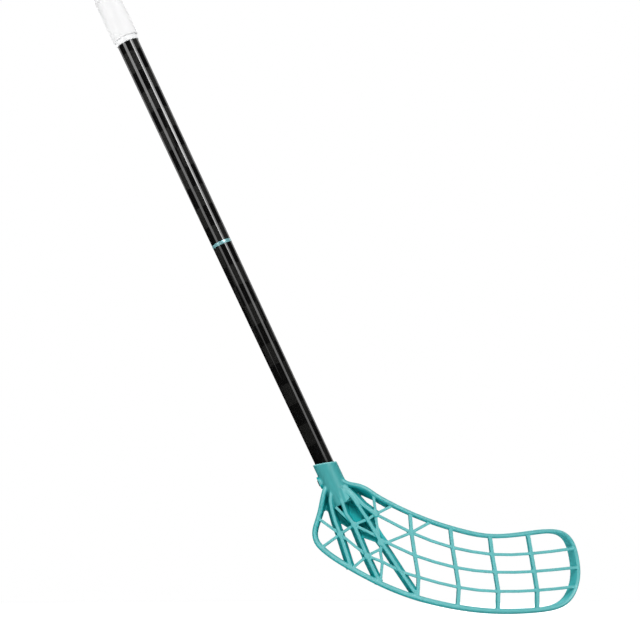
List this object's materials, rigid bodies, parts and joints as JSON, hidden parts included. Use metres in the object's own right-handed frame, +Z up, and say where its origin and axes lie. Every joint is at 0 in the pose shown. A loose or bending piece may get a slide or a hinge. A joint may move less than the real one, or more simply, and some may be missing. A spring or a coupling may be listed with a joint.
{
  "type": "floorball stick",
  "caption": "Floorball stick: a tapered carbon shaft with a white grip and end cap, and a hooked, open-ribbed plastic blade glued and screwed to its foot.",
  "frame": {"origin": "on the shaft's axis at the middle of the grip, where the stick is held", "axes": "+Z up and +X from heel to toe, with the stick as it is played: the shaft leans 25.1 degrees from +Z towards -X, and the convex side of the blade faces -Y"},
  "size_m": [0.6713, 0.0731, 0.9712],
  "materials": {
    "shaft": "clear gloss over a black carbon weave in large squares",
    "blade": "satin, moulded through in one colour",
    "screw": "blackened steel",
    "glue": "set hot-melt glue",
    "grip": "dull, slightly tacky white",
    "band": "dull white tape",
    "cap": "dull black",
    "ring": "printed foil under the gloss"
  },
  "bodies": {
    "stick": {"shaft_tube": "shaft", "blade": "blade", "socket_glue": "glue", "grip": "grip", "grip_band": "band", "ring_mark": "ring"},
    "blade_screw": {"blade_screw": "screw"},
    "end_cap": {"end_cap": "cap"}
  },
  "joints": [
    {"name": "cap_pull", "type": "slide", "parent": "stick", "child": "end_cap", "axis": [-0.4242, 0, 0.9056], "range_m": [0, 0.04]},
    {"name": "screw_out", "type": "slide", "parent": "stick", "child": "blade_screw", "axis": [-0.9056, 0, -0.4242], "range_m": [0, 0.012]}
  ]
}
